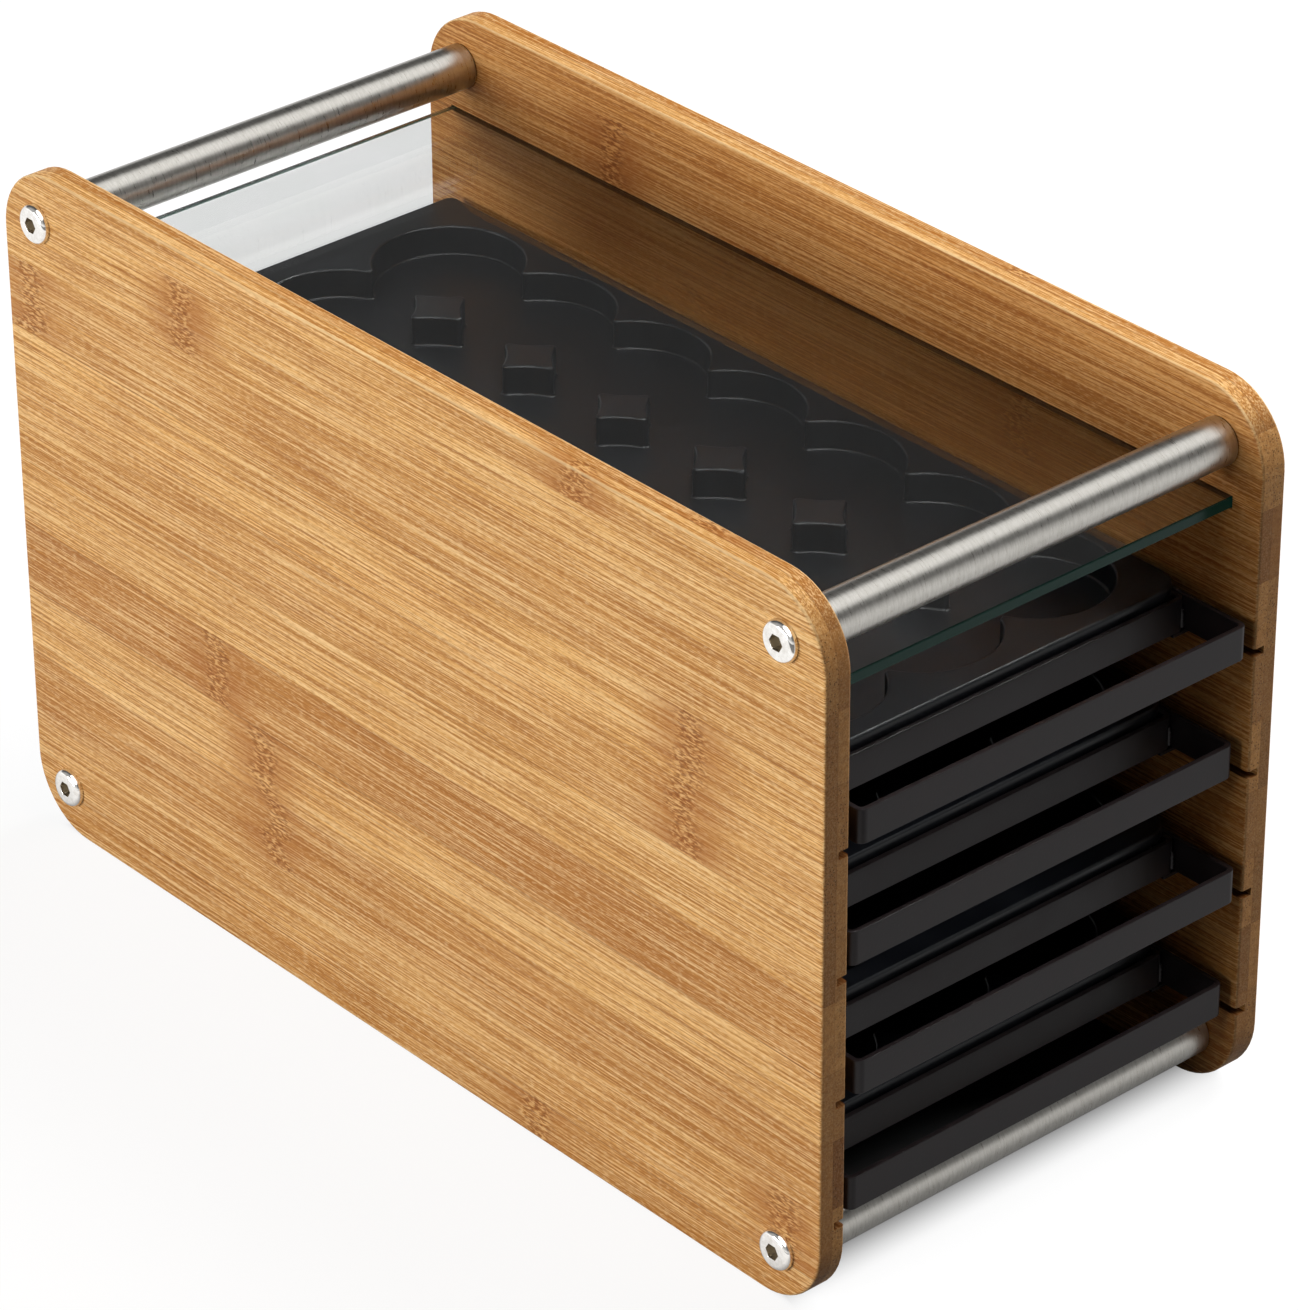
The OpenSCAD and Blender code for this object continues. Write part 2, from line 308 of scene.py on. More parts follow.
print("bamboo grain has", len(grain.nodes), "nodes with its colours")

# %% [markdown]
# Where two strips meet, the glue shows as a hairline, darker in some joints than in others. The two plies
# meet in the middle of the thickness. End grain soaks up more oil than the faces do, so the front and rear
# edges are darker, with a tone of their own for each strip and ply, and dotted with pores.

# %% Glue lines and end grain
from_joint = calc(grain, "SUBTRACT", up_board, FIRST_JOINT)
strip_number = calc(grain, "FLOOR", calc(grain, "DIVIDE", from_joint, STRIP_W))
joint_number = calc(grain, "FLOOR", calc(grain, "DIVIDE", total(grain, from_joint, STRIP_W / 2), STRIP_W))
glue = chance(grain, total(grain, joint_number, take["Seed"]))[0]
joint = product(grain, spread(grain, calc(grain, "PINGPONG", from_joint, STRIP_W / 2), mm(0.22), mm(0.06)),
                spread(grain, glue, 0.2, 1.0, 0.05, 0.75, smooth=False))
depth_in_board = away(grain, across_board)
ply = spread(grain, away(grain, depth_in_board, PLY_MIDDLE), mm(0.25), mm(0.08))
base = mixed(grain, calc(grain, "MAXIMUM", joint, product(grain, ply, 0.45)), base, paint(112, 68, 34))
normal = put(grain, "ShaderNodeTexCoord").outputs["Normal"]
facing_side, facing_end, facing_up = [away(grain, part) for part in list(parts(grain, normal))]
end = spread(grain, facing_end, 0.45, 0.95)
outer_ply = calc(grain, "GREATER_THAN", depth_in_board, PLY_MIDDLE)
end_chance = chance(grain, total(grain, strip_number, take["Seed"], product(grain, outer_ply, 31.0)))
end_tone = mixed(grain, end_chance[0], paint(112, 70, 36), paint(182, 132, 78))
end_tone = mixed(grain, glaze(fibres(500, 500, 2), 0.4, 0.7, 0.4), end_tone, paint(104, 66, 36))
base = mixed(grain, product(grain, end, 0.78), base, end_tone)
pores = put(grain, "ShaderNodeTexVoronoi", {0: shifted, "Scale": 1250.0}).outputs["Distance"]
pores = product(grain, spread(grain, pores, 0.36, 0.14), end,
                spread(grain, green_of(grain, end_chance[1]), 0.35, 0.75, 0.35, 1.0))
base = mixed(grain, product(grain, pores, 0.8), base, paint(70, 40, 20))
print("bamboo grain has", len(grain.nodes), "nodes with its joints and ends")

# %% [markdown]
# The slots' upper and lower walls see little light, and painted shade darkens them. The rounded edges get a
# painted highlight, the level ones most of all. The faces inside the stand get a darker, deeper painted
# shade: that is the group's last input.

# %% Painted shade, painted highlight and relief
between_edges = product(grain, spread(grain, up_board, mm(199), mm(198)), spread(grain, up_board, mm(4), mm(5)))
# Painted shade on the walls of the slots.
slot_wall_shade = product(grain, spread(grain, facing_up, 0.80, 0.95), between_edges, 0.8)
base = mixed(grain, slot_wall_shade, base, paint(104, 62, 40), "MULTIPLY")
# A painted highlight along the rounded edges, strongest on the level ones.
painted_arris_highlight = product(grain, spread(grain, facing_side, 0.10, 0.35), spread(grain, facing_side, 0.98, 0.85),
                 spread(grain, facing_up, 0.30, 0.75, 0.04, 0.50))
base = mixed(grain, painted_arris_highlight, base, paint(246, 214, 160))
# Painted shade: the faces inside the stand are multiplied darker and deeper, by the group's last input.
base = mixed(grain, take["Oil"], base, paint(208, 164, 76), "MULTIPLY")
grain.links.new(base, give["Color"])
grain.links.new(total(grain, spread(grain, fine, 0.3, 0.7, 0.46, 0.58), product(grain, node_marks, 0.12)),
                give["Roughness"])
hollows = total(grain, product(grain, joint, 0.6), product(grain, pores, 0.8))
grain.links.new(calc(grain, "SUBTRACT", total(grain, fine, product(grain, hair, 0.4)), hollows), give["Height"])
print("bamboo grain is done, with", len(grain.nodes), "nodes")

# %% [markdown]
# The two boards differ in which strips are dark and where the nodes fall. A stepped ramp over the height
# gives each strip its tone, and another one the place of its node. Each board's face away from the picture
# gets its own layout in the same way, picked by chance from the strip's number.

# %% Bamboo boards
NO_NODE, NODE_SPAN = 190, mm(400)  # a place past the board's end, and the length that the node ramp covers


def strip_steps(levels):
    """The ramp's steps: a first short strip at the foot of the board, and then whole ones."""
    places = [0.0] + [(FIRST_JOINT + STRIP_W * n) / BOARD_H for n in range(len(levels) - 1)]
    return list(zip(places, levels))


def bamboo(name, seen_below, tones, node_places, seed):
    """The finish of one board, whose seen ply lies below one x. The nodes' places are in millimetres."""
    material, tree, shader, point = new_material(name)
    x, y, z = parts(tree, point)
    height = calc(tree, "DIVIDE", z, BOARD_H)
    tone = stepped(tree, height, strip_steps(tones))
    place = stepped(tree, height, strip_steps([0.5 + mm(p) / NODE_SPAN for p in node_places]))
    place = product(tree, calc(tree, "SUBTRACT", place, 0.5), NODE_SPAN)
    number = calc(tree, "FLOOR", calc(tree, "DIVIDE", calc(tree, "SUBTRACT", z, FIRST_JOINT), STRIP_W))
    other = chance(tree, total(tree, number, seed))
    other_place = spread(tree, green_of(tree, other[1]), 0.0, 1.0, mm(-170), mm(170), smooth=False)
    seen = calc(tree, "LESS_THAN", x, seen_below)
    # The faces inside the stand, which get the painted shade.
    inside = calc(tree, "LESS_THAN", away(tree, x), mm(68.6))
    out = place_group(tree, grain, {"Point": point, "Tone": chosen(tree, seen, other[0], tone),
                                    "Node place": chosen(tree, seen, other_place, place), "Seed": seed,
                                    "Oil": product(tree, inside, 0.5)})
    tree.links.new(out["Color"], shader.inputs["Base Color"])
    tree.links.new(out["Roughness"], shader.inputs["Roughness"])
    raise_by(tree, shader, out["Height"], 0.25, mm(0.2))
    shader.inputs["Specular IOR Level"].default_value = 0.2
    return material


bamboo_left = bamboo(
    "bamboo left board", -PLY_MIDDLE,
    tones=[0.35, 0.62, 0.30, 0.92, 0.16, 0.90, 0.66, 0.92, 0.62, 0.88, 0.80],
    node_places=[-52, -147, 52, 57, 75, NO_NODE, -110, -112, 150, 83, -70], seed=3.0)
bamboo_right = bamboo(
    "bamboo right board", PLY_MIDDLE,
    tones=[0.5, 0.4, 0.7, 0.35, 0.6, 0.5, 0.7, 0.45, 0.6, 0.62, 0.7],
    node_places=[NO_NODE, 60, -90, NO_NODE, 30, -20, 110, NO_NODE, -75, 82, NO_NODE], seed=11.0)
for side, material in (("left_board", bamboo_left), ("right_board", bamboo_right)):
    dress(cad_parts[side], material)
print("boards finished")

# %% [markdown]
# The rods are stainless steel, turned and brushed round their axis, and handled since. The brushing is a
# fine noise squeezed along the rod, which changes the tone and the roughness. Anisotropy would stretch the
# highlight as real brushing does, but a plain rough metal with that noise gives the same soft bands. The
# drawer steel is powder coated in satin black, with a faint orange peel and a few rubbed places, and the
# trays are moulded in black plastic, a shade bluer and smoother, with light dust. All three are one
# recipe: two tones in soft patches, specks over them, and a fine relief.

# %% Steel and black finishes
mottle, take, give = new_group(
    "soft mottle",
    takes=[("Point", "Vector"), ("Size", "Float", 0.004), ("Stretch", "Vector", (1, 1, 1))],
    gives=[("Patches", "Float"), ("Specks", "Float")],
)
counts = calc(mottle, "DIVIDE", 1.0, take["Size"])
pulled = put(mottle, "ShaderNodeVectorMath", {0: take["Point"], 1: take["Stretch"]},
             operation="MULTIPLY").outputs[0]
for output, scale, detail, rough in (("Patches", counts, 4.0, 0.6),
                                     ("Specks", product(mottle, counts, 9.0), 2.0, 0.7)):
    noise = put(mottle, "ShaderNodeTexNoise", {0: pulled, "Scale": scale, "Detail": detail, "Roughness": rough})
    mottle.links.new(noise.outputs[0], give[output])


def worn(name, size, tones, tones_at, speck, specks_at, speck_strength, roughness, relief, stretch=(1, 1, 1)):
    """A finish of two tones in patches of a size, with specks and a fine relief over them."""
    material, tree, shader, point = new_material(name)
    wear = place_group(tree, mottle, {"Point": point, "Size": size, "Stretch": stretch})
    color = mixed(tree, spread(tree, wear["Patches"], *tones_at), paint(*tones[0]), paint(*tones[1]))
    color = mixed(tree, spread(tree, wear["Specks"], *specks_at, 0.0, speck_strength), color, paint(*speck))
    tree.links.new(color, shader.inputs["Base Color"])
    tree.links.new(spread(tree, wear["Patches"], 0.3, 0.7, *roughness), shader.inputs["Roughness"])
    raise_by(tree, shader, wear["Specks"], relief, mm(0.1))
    return material, shader


steel, shader = worn("brushed steel", mm(4), ((184, 181, 174), (202, 199, 193)), (0.3, 0.7),
                     (146, 142, 134), (0.46, 0.66), 0.26, (0.27, 0.35), 0.05, stretch=(7.0, 1.2, 1.2))
shader.inputs["Metallic"].default_value = 1.0
coat, shader = worn("black powder coat", mm(6), ((27, 22, 23), (33, 27, 28)), (0.35, 0.7),
                    (64, 62, 62), (0.66, 0.8), 0.5, (0.34, 0.42), 0.2)
shader.inputs["Specular IOR Level"].default_value = 0.23
plastic, shader = worn("black moulded plastic", mm(12), ((17, 19, 23), (23, 25, 29)), (0.35, 0.7),
                       (60, 60, 62), (0.68, 0.8), 0.4, (0.30, 0.38), 0.05)
shader.inputs["Specular IOR Level"].default_value = 0.4


def finish_nodes(material, *starts):
    """Gives a finish to every construction piece whose name starts so."""
    for name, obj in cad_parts.items():
        if name.startswith(starts):
            dress(obj, material)


finish_nodes(steel, "rod_")
finish_nodes(coat, "drawer_")
print("rods finished, and the drawers' black ready")

# %% [markdown]
# The bolts are bright nickel plate, darker and duller down in their sockets. Every bolt lies along X in one
# of four places, so a point is in a socket when it is near one of those axes and below the head's face.

# %% Nickel
BOLT_ROW, BOLT_TOP, BOLT_BOTTOM = mm(144.7), mm(188.2), mm(14.8)
chrome, tree, shader, point = new_material("bright nickel")
wear = place_group(tree, mottle, {"Point": point, "Size": mm(2), "Stretch": (1, 1, 1)})
color = mixed(tree, spread(tree, wear["Patches"], 0.3, 0.7), paint(226, 222, 216), paint(242, 240, 236))
x, y, z = parts(tree, point)
from_row = away(tree, away(tree, y), BOLT_ROW)
from_line = calc(tree, "MINIMUM", away(tree, z, BOLT_TOP), away(tree, z, BOLT_BOTTOM))
from_axis = calc(tree, "SQRT", total(tree, product(tree, from_row, from_row),
                                     product(tree, from_line, from_line)))
in_socket = product(tree, calc(tree, "LESS_THAN", from_axis, mm(2.4)),
                    spread(tree, away(tree, x), mm(78.75), mm(78.2)))
tree.links.new(mixed(tree, in_socket, color, paint(176, 166, 148)), shader.inputs["Base Color"])
polished = spread(tree, wear["Specks"], 0.4, 0.8, 0.09, 0.16)
tree.links.new(calc(tree, "MAXIMUM", polished, product(tree, in_socket, 0.4)), shader.inputs["Roughness"])
shader.inputs["Metallic"].default_value = 1.0
print("nickel ready")

# %% [markdown]
# The shelf is float glass: clear through its faces, and sea green where light runs along it to the ground
# edges. So the body is a plain clear glass, and only its outer half millimetre at the front and rear is
# tinted, in what it reflects as well, with a faint painted green glow for the light that runs along it. Light
# has to get through to the drawer below, so shadow rays pass it, dimmed, as they do real glass.

# %% Glass shelf
glass, tree, shader, point = new_material("shelf glass")
x, y, z = parts(tree, point)
glass_low, glass_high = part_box("glass_top")
edge = spread(tree, away(tree, y), glass_high.y - mm(0.5), glass_high.y - mm(0.2))
wear = place_group(tree, mottle, {"Point": point, "Size": mm(20), "Stretch": (1, 1, 1)})
clear = mixed(tree, spread(tree, wear["Patches"], 0.3, 0.7), paint(248, 250, 249), paint(251, 252, 252))
tree.links.new(mixed(tree, edge, clear, paint(6, 40, 31)), shader.inputs["Base Color"])
# A faint painted glow on the edge, for the light carried along the glass.
tree.links.new(mixed(tree, edge, (0, 0, 0, 1), (0.001, 0.010, 0.007, 1)), shader.inputs["Emission Color"])
tree.links.new(mixed(tree, edge, (1, 1, 1, 1), paint(40, 90, 76)), shader.inputs["Specular Tint"])
smears = spread(tree, wear["Specks"], 0.55, 0.8, 0.0, 0.03)
tree.links.new(total(tree, product(tree, edge, 0.2), smears), shader.inputs["Roughness"])
shader.inputs["Emission Strength"].default_value = 1.0
shader.inputs["Transmission Weight"].default_value = 1.0
shader.inputs["IOR"].default_value = 1.5
passing = put(tree, "ShaderNodeBsdfTransparent", {0: (0.22, 0.24, 0.23, 1)})
ray = put(tree, "ShaderNodeLightPath").outputs
both = put(tree, "ShaderNodeMixShader", {0: ray["Is Shadow Ray"], 1: shader.outputs[0], 2: passing.outputs[0]})
tree.links.new(both.outputs[0], tree.nodes["Material Output"].inputs["Surface"])
finish_nodes(glass, "glass_top")
print("glass finished, from y", round(glass_low.y, 4), "to", round(glass_high.y, 4))

# %% [markdown]
# The rest is modelled by hand. Each piece starts as a block at its size and place, whose edges and faces
# are picked by where they are or which way they run. The helpers make the block, pick, apply a modifier, and
# soften the edges.

# %% Helpers for modelling
SAME_PLACE, SMOOTH_ANGLE = 1e-6, math.radians(35)


def only(obj):
    """Selects one object and nothing else."""
    bpy.ops.object.select_all(action="DESELECT")
    obj.select_set(True)
    bpy.context.view_layer.objects.active = obj


def block(name, low, high):
    """A block from one corner to the other, its place in its mesh."""
    bpy.ops.object.select_all(action="DESELECT")
    low, high = Vector(low), Vector(high)
    bpy.ops.mesh.primitive_cube_add(size=1, location=(low + high) / 2, scale=high - low)
    obj = bpy.context.object
    bpy.ops.object.transform_apply(location=True, rotation=True, scale=True)
    obj.name = obj.data.name = name
    return obj


def pick(obj, kind, test):
    """Opens edit mode with only those faces, or edges, picked that pass the test."""
    only(obj)
    bpy.ops.object.mode_set(mode="EDIT")
    bpy.ops.mesh.select_mode(type=kind)
    bpy.ops.mesh.select_all(action="DESELECT")
    mesh = bmesh.from_edit_mesh(obj.data)
    found = [item for item in (mesh.faces if kind == "FACE" else mesh.edges) if test(item)]
    for item in found:
        item.select_set(True)
    bmesh.update_edit_mesh(obj.data)
    return len(found)


def close_edit():
    """Goes back to object mode."""
    bpy.ops.object.mode_set(mode="OBJECT")


def upright(edge):
    """Whether an edge runs along Z."""
    a, b = edge.verts[0].co, edge.verts[1].co
    return (a - b).xy.length < SAME_PLACE


def is_level(face):
    """Whether a face looks straight up or down."""
    return abs(face.normal.z) > 0.9


def middle_y(edge):
    """How far back an edge lies."""
    return (edge.verts[0].co.y + edge.verts[1].co.y) / 2


def apply(obj, kind, **settings):
    """Adds a modifier and applies it."""
    only(obj)
    made = obj.modifiers.new(kind.lower(), kind)
    for name, value in settings.items():
        setattr(made, name, value)
    bpy.ops.object.modifier_apply(modifier=made.name)


def soften(obj, width, segments=2, angle=40):
    """Rounds every edge sharper than the angle, and shades it smooth. Weighted normals keep the flats flat."""
    apply(obj, "BEVEL", width=width, segments=segments, limit_method="ANGLE", angle_limit=math.radians(angle))
    only(obj)
    bpy.ops.object.shade_smooth_by_angle(angle=SMOOTH_ANGLE)
    apply(obj, "WEIGHTED_NORMAL", keep_sharp=True)


# %% [markdown]
# The handle frame is one strip of steel, bent to a loop that goes round the whole drawer. A block without
# its top and bottom is that loop. Its four upright edges are rounded to the bends' radius, and it then gets
# the strip's thickness inwards and a soft arris.

# %% Handle frame
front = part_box("drawer_1_frame")[0].y
frame_low, frame_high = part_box("drawer_1_frame")
strip_t, bend_r, arris = mm(1.5), mm(2.4), mm(0.3)


def strip_loop(name, low, high, open_rear=False):
    """A strip bent round a block: a closed loop, or a U that is open to the rear."""
    obj = block(name, low, high)
    pick(obj, "FACE", lambda f: is_level(f) or (open_rear and f.normal.y > 0.9))
    bpy.ops.mesh.delete(type="ONLY_FACE")
    close_edit()
    middle = (low[1] + high[1]) / 2
    pick(obj, "EDGE", lambda e: upright(e) and not (open_rear and middle_y(e) > middle))
    bpy.ops.mesh.bevel(offset=bend_r, segments=8, affect="EDGES")
    close_edit()
    apply(obj, "SOLIDIFY", thickness=strip_t, offset=-1, use_even_offset=True)
    soften(obj, arris)
    return obj


handle = strip_loop("drawer_1_handle", frame_low, frame_high)
print("handle frame", len(handle.data.polygons), "faces")

# %% [markdown]
# The cross bar closes the finger gap. Its ends are bent back and lie against the side arms, so it is a
# loop without its rear run, made in the same way.

# %% Cross bar
bar_low, bar_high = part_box("drawer_1_cross_bar")
cross_bar = strip_loop("drawer_1_cross_bar_strip", bar_low, bar_high, open_rear=True)
print("cross bar", len(cross_bar.data.polygons), "faces")

# %% [markdown]
# A runner is a thin flat strip under each side arm, with a rounded lead at both outer corners, so that it
# finds its slot in the board.

# %% Runners
lead_r = mm(2.5)


def runner(side):
    """The runner under one side arm of the first drawer."""
    low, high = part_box("drawer_1_runner_" + side)
    obj = block("drawer_1_runner_strip_" + side, low, high)
    outer = high.x if side == "right" else low.x
    pick(obj, "EDGE", lambda e: upright(e) and abs(e.verts[0].co.x - outer) < SAME_PLACE)
    bpy.ops.mesh.bevel(offset=lead_r, segments=6, affect="EDGES")
    close_edit()
    soften(obj, mm(0.2))
    return obj


runners = {side: runner(side) for side in ("left", "right")}
print("runners", [len(o.data.polygons) for o in runners.values()])

# %% [markdown]
# The tray is one moulding: a flat lip that lies on the frame, a short skirt that drops inside it, and 21
# round seats that run into each other and leave small posts between them. Taking 21 round cutters from a
# plate is quick to write, but leaves slivers where they cross, and a bevel tears on those. So the seats are
# drawn as one outline instead, with every corner rounded as a mould's is, and one cutter takes them all.

# %% Tray plate and skirt
COLUMNS, ROWS, PITCH_X, PITCH_Y = 3, 7, mm(39), mm(37.8)
seat_r, cup_r, seat_depth, lip_t = mm(21), mm(23), mm(8.5), mm(3)
front_corner, rear_corner, over = mm(8), mm(3), mm(1)
skirt_half, skirt_front, skirt_rear, skirt_drop, skirt_t = mm(62.1), mm(22.3), mm(305.2), mm(4), mm(1.5)
tray_low, tray_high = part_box("drawer_1_pod_tray")
lip_bottom, seat_floor = tray_high.z - lip_t, tray_high.z - seat_depth
first_x, first_y = -PITCH_X * (COLUMNS - 1) / 2, front + mm(49.6)


def corner_block(name, low, high, front_r, rear_r):
    """A plate whose upright corners are rounded, the front ones more than the rear ones."""
    obj = block(name, low, high)
    middle = (low[1] + high[1]) / 2
    for radius, at_front in ((front_r, True), (rear_r, False)):
        pick(obj, "EDGE", lambda e: upright(e) and abs(abs(e.verts[0].co.x) - high[0]) < SAME_PLACE
             and (middle_y(e) < middle) == at_front)
        bpy.ops.mesh.bevel(offset=radius, segments=10, affect="EDGES")
        close_edit()
    return obj


tray = corner_block("drawer_1_seat_tray", (tray_low.x, tray_low.y, lip_bottom), tray_high,
                    front_corner, rear_corner)
skirt_low = Vector((-skirt_half, front + skirt_front, lip_bottom - skirt_drop))
skirt_high = Vector((skirt_half, front + skirt_rear, lip_bottom + over))
skirt = corner_block("skirt", skirt_low, skirt_high, front_corner, rear_corner)
pick(skirt, "FACE", is_level)
bpy.ops.mesh.delete(type="ONLY_FACE")
close_edit()
apply(skirt, "SOLIDIFY", thickness=skirt_t, offset=-1, use_even_offset=True)
print("lip from z", round(lip_bottom, 4), "to", round(tray_high.z, 4))

# %% [markdown]
# The outline is made of arcs. Round each seat runs an arc of the seat's own radius, and where two seats meet,
# a small fillet touches both. Going round the outer seats gives the tray's scalloped edge, and going round
# any four neighbours from the inside gives a post.

# %% Outline of the seats
SEAT_STEP, FILLET_STEP = 5, 18  # degrees of arc from point to point


def seat_place(column, row):
    """The centre of a seat."""
    return Vector((first_x + column * PITCH_X, first_y + row * PITCH_Y))


def arc(centre, start, end, turn, step):
    """Points on an arc round a centre, from one point to another, turning left for 1 and right for -1."""
    radius = (start - centre).length
    a, b = (math.atan2(p.y - centre.y, p.x - centre.x) for p in (start, end))
    sweep = (b - a) * turn % (2 * math.pi)
    count = max(2, math.ceil(sweep / math.radians(step)))
    angles = [a + turn * sweep * n / count for n in range(count)]
    return [centre + radius * Vector((math.cos(angle), math.sin(angle))) for angle in angles]


def round_outline(seats, radius, fillet, outside):
    """The outline that passes round the seats in turn: on their outer side, or on the side of a post."""
    side = 1 if outside else -1
    joins = []
    for a, b in zip(seats, seats[1:] + seats[:1]):
        along = b - a
        away = Vector((along.y, -along.x)).normalized() * side
        reach = math.sqrt((radius + fillet) ** 2 - (along.length / 2) ** 2)
        middle = (a + b) / 2 + away * reach
        share = radius / (radius + fillet)
        joins.append((a + (middle - a) * share, middle, b + (middle - b) * share))
    points = []
    for seat, before, after in zip(seats, joins[-1:] + joins[:-1], joins):
        points += arc(seat, before[2], after[0], side, SEAT_STEP)
        points += arc(after[1], after[0], after[2], -side, FILLET_STEP)
    return points


def solid(name, outlines, bottom, top):
    """A flat curve filled between its outlines, given its height and made a mesh."""
    curve = bpy.data.curves.new(name, "CURVE")
    curve.dimensions, curve.fill_mode, curve.extrude = "2D", "BOTH", (top - bottom) / 2
    for outline in outlines:
        spline = curve.splines.new("POLY")
        spline.points.add(len(outline) - 1)
        for point, place in zip(spline.points, outline):
            point.co = (place.x, place.y, 0, 1)
        spline.use_cyclic_u = True
    obj = bpy.data.objects.new(name, curve)
    obj.location.z = (bottom + top) / 2
    bpy.context.scene.collection.objects.link(obj)
    only(obj)
    bpy.ops.object.convert(target="MESH")
    obj = bpy.context.object
    bpy.ops.object.transform_apply(location=True, rotation=True, scale=True)
    tidy_mesh(obj)
    bpy.ops.object.mode_set(mode="EDIT")
    bpy.ops.mesh.select_all(action="SELECT")
    bpy.ops.mesh.normals_make_consistent(inside=False)
    close_edit()
    return obj


def tidy_mesh(obj):
    """Joins doubled points, and makes each flat face one face again."""
    only(obj)
    bpy.ops.object.mode_set(mode="EDIT")
    bpy.ops.mesh.select_all(action="SELECT")
    bpy.ops.mesh.remove_doubles(threshold=mm(0.01))
    bpy.ops.mesh.dissolve_limited(angle_limit=math.radians(0.5))
    close_edit()


def combine(obj, other, operation):
    """Joins another shape to a piece, or takes it away, and removes the other one."""
    apply(obj, "BOOLEAN", object=other, operation=operation, solver="EXACT")
    bpy.data.objects.remove(other)


last_column, last_row = COLUMNS - 1, ROWS - 1
around = ([seat_place(c, 0) for c in range(COLUMNS)] + [seat_place(last_column, r) for r in range(1, ROWS)]
          + [seat_place(c, last_row) for c in range(last_column - 1, -1, -1)]
          + [seat_place(0, r) for r in range(last_row - 1, 0, -1)])
posts = [[seat_place(c, r), seat_place(c + 1, r), seat_place(c + 1, r + 1), seat_place(c, r + 1)]
         for c in range(last_column) for r in range(last_row)]
corner = mm(1.3)
scallops = round_outline(around, seat_r, corner, outside=True)
print("outline of", len(scallops), "points, round", len(around), "seats, with", len(posts), "posts inside")

# %% [markdown]
# The cups below the lip are the same outline, one wall thickness larger and without posts. They join the
# lip and the skirt, and then the cutter takes the seats and leaves the posts standing on their floor.
# Rounding the rims afterwards gives the fine bright lines that moulded plastic shows along every edge.

# %% Seats and posts
floor_t, rim_r, near = mm(1.8), mm(0.7), mm(0.01)
cup_floor = seat_floor - floor_t
combine(tray, skirt, "UNION")
cups = solid("cups", [round_outline(around, cup_r, corner, outside=True)], cup_floor, lip_bottom + over)
combine(tray, cups, "UNION")
post_outlines = [round_outline(four, seat_r, corner, outside=False) for four in posts]
combine(tray, solid("seats", [scallops] + post_outlines, seat_floor, tray_high.z + over), "DIFFERENCE")
tidy_mesh(tray)


def is_rim(edge):
    """Whether an edge runs level along the lip, the seats' floor or the cups' underside, at a corner."""
    a, b = (v.co for v in edge.verts)
    level = min(abs(a.z - z) for z in (tray_high.z, seat_floor, cup_floor)) < near
    return level and abs(a.z - b.z) < near and abs(edge.calc_face_angle(0)) > math.radians(50)


rims = pick(tray, "EDGE", is_rim)
bpy.ops.mesh.bevel(offset=rim_r, segments=4, affect="EDGES", clamp_overlap=False)
close_edit()
bpy.ops.object.shade_smooth_by_angle(angle=SMOOTH_ANGLE)
apply(tray, "WEIGHTED_NORMAL", keep_sharp=True)
print("tray finished", len(tray.data.polygons), "faces, with", rims, "rim edges rounded")

# %% [markdown]
# A button head bolt holds each end of each rod. A cylinder is its head: the rear face is inset and drawn out
# to be the shank, the front edge is rounded over, and a six-sided cutter sinks the socket. The other bolts
# are copies, turned round for the right board.

# %% Bolts
bolt_low, bolt_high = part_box("bolt_left_top_front")
bolt_y, bolt_z = (bolt_low.y + bolt_high.y) / 2, (bolt_low.z + bolt_high.z) / 2
head_r, head_h, dome_r = (bolt_high.y - bolt_low.y) / 2, mm(2.3), mm(1.65)
shank_r, flats, socket_depth = mm(3), mm(4), mm(2.8)


def lying_drum(name, radius, left, right, sides):
    """A cylinder along X on the first bolt's axis, its place in its mesh."""
    bpy.ops.object.select_all(action="DESELECT")
    bpy.ops.mesh.primitive_cylinder_add(vertices=sides, radius=radius, depth=right - left,
                                        location=((left + right) / 2, bolt_y, bolt_z),
                                        rotation=(0, math.radians(-90), 0))
    obj = bpy.context.object
    bpy.ops.object.transform_apply(location=True, rotation=True, scale=True)
    obj.name = obj.data.name = name
    return obj


bolt = lying_drum("button_bolt_left_top_front", head_r, bolt_low.x, bolt_low.x + head_h, 56)
pick(bolt, "FACE", lambda f: f.normal.x > 0.9)
bpy.ops.mesh.inset(thickness=head_r - shank_r)
bpy.ops.mesh.extrude_region_move(TRANSFORM_OT_translate={"value": (bolt_high.x - bolt_low.x - head_h, 0, 0)})
close_edit()
pick(bolt, "EDGE", lambda e: all(v.co.x < bolt_low.x + mm(0.01) for v in e.verts))
bpy.ops.mesh.bevel(offset=dome_r, segments=7, affect="EDGES")
close_edit()
socket_r = flats / 2 / math.cos(math.radians(30))
socket = lying_drum("socket", socket_r, bolt_low.x - over, bolt_low.x + socket_depth, 6)
combine(bolt, socket, "DIFFERENCE")
soften(bolt, mm(0.1), angle=45)
centre = Vector(((bolt_low.x + bolt_high.x) / 2, bolt_y, bolt_z))
for side in ("left", "right"):
    turn = Matrix.Rotation(math.pi if side == "right" else 0.0, 4, "Z")
    for level in ("top", "bottom"):
        for row in ("front", "rear"):
            node = f"bolt_{side}_{level}_{row}"
            obj = bolt
            if node != "bolt_left_top_front":
                obj = bolt.copy()
                obj.data = bolt.data.copy()
                obj.name = obj.data.name = "button_" + node
                bpy.context.scene.collection.objects.link(obj)
                low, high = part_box(node)
                obj.data.transform(Matrix.Translation((low + high) / 2) @ turn @ Matrix.Translation(-centre))
            dress(obj, chrome)
            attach(obj, "stand")
            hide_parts(node)
print("bolts", len(bolt.data.polygons), "faces each, at z", round(bolt_z, 4))

# %% [markdown]
# A short weld bead holds each end of the cross bar in the groove between its bend and the side arm. It is a
# row of small drops, one over the other, as the torch leaves them, each a little to one side of the last.
# The drops are melted together with the Remesh modifier, and smoothed a little.

# %% Weld beads
DROPS, drop_r, wobble, into_bend = 8, mm(0.8), mm(0.08), mm(0.75)
first_up, drop_gap = 1.3, 0.6  # in millimetres, over the strip's lower edge


